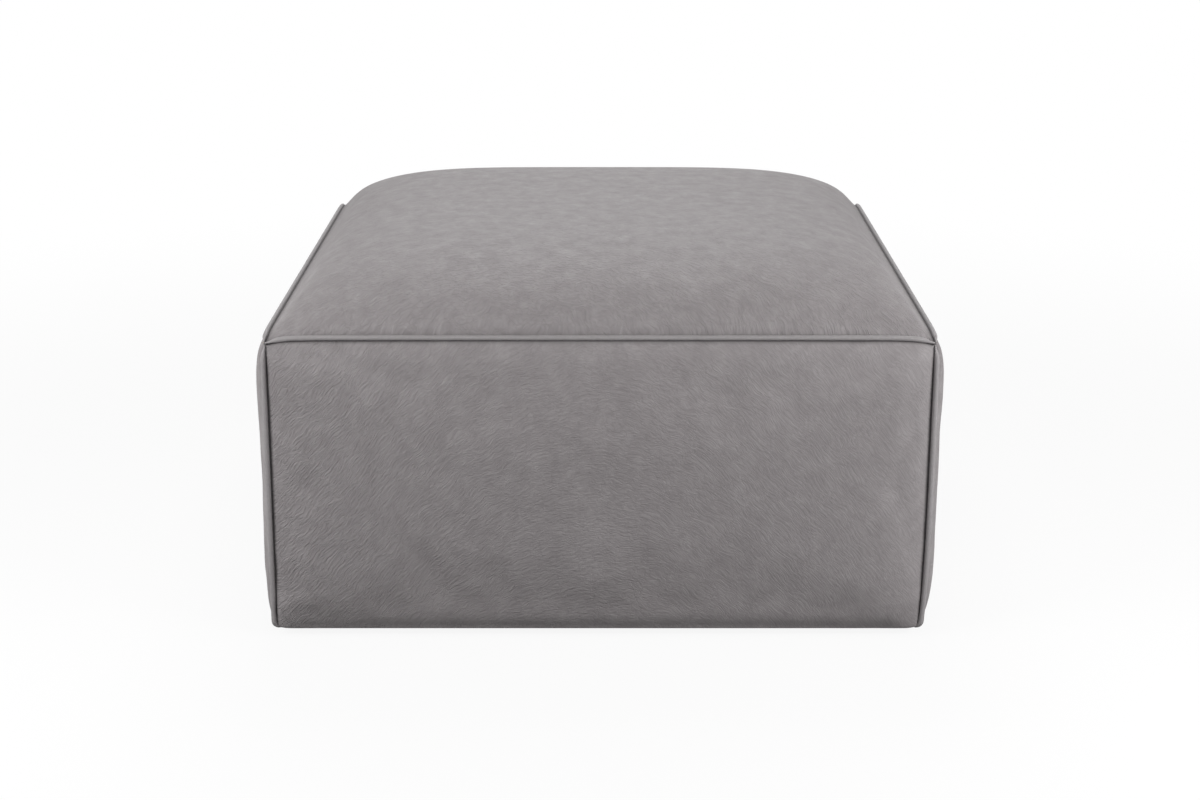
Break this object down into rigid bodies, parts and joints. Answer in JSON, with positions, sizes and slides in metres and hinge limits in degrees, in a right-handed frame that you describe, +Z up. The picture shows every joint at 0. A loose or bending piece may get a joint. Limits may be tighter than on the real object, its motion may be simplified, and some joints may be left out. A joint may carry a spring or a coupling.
{
  "type": "footstool",
  "caption": "Low square upholstered footstool with a crowned leather top, puffed leather sides and piping along every seam.",
  "frame": {"origin": "on the floor, under the middle of the footstool", "axes": "+Z up, the front faces -Y, and +X is to the right as seen from the front, so the width runs along X"},
  "size_m": [0.8006, 0.8006, 0.4444],
  "materials": {
    "cover_leather": "matte",
    "piping_leather": "matte",
    "cord": "matte",
    "fibre": "matte",
    "foam": "matte",
    "felt": "matte",
    "webbing": "matte",
    "board": "matte",
    "timber": "matte",
    "dust_cloth": "matte",
    "glide_plastic": "matte",
    "nail_steel": "satin"
  },
  "bodies": {
    "root": {"top_panel": "cover_leather", "front_panel": "cover_leather", "right_panel": "cover_leather", "back_panel": "cover_leather", "left_panel": "cover_leather", "top_piping_front": "piping_leather", "top_piping_right": "piping_leather", "top_piping_back": "piping_leather", "top_piping_left": "piping_leather", "corner_piping_front_left": "piping_leather", "corner_piping_front_right": "piping_leather", "corner_piping_back_right": "piping_leather", "corner_piping_back_left": "piping_leather", "piping_cords": "cord", "seat_fibre_wrap": "fibre", "seat_foam": "foam", "front_pad": "foam", "right_pad": "foam", "back_pad": "foam", "left_pad": "foam", "insulator_sheet": "felt", "webbing_lengthways": "webbing", "webbing_crossways": "webbing", "front_board": "board", "right_board": "board", "back_board": "board", "left_board": "board", "corner_post_front_left": "timber", "corner_post_front_right": "timber", "corner_post_back_right": "timber", "corner_post_back_left": "timber", "top_rail_front": "timber", "top_rail_right": "timber", "top_rail_back": "timber", "top_rail_left": "timber", "bottom_rail_front": "timber", "bottom_rail_right": "timber", "bottom_rail_back": "timber", "bottom_rail_left": "timber", "front_upright": "timber", "right_upright": "timber", "back_upright": "timber", "left_upright": "timber", "base_brace": "timber", "corner_blocks": "timber", "dust_cover": "dust_cloth", "glides": "glide_plastic", "glide_nails": "nail_steel"}
  },
  "joints": []
}
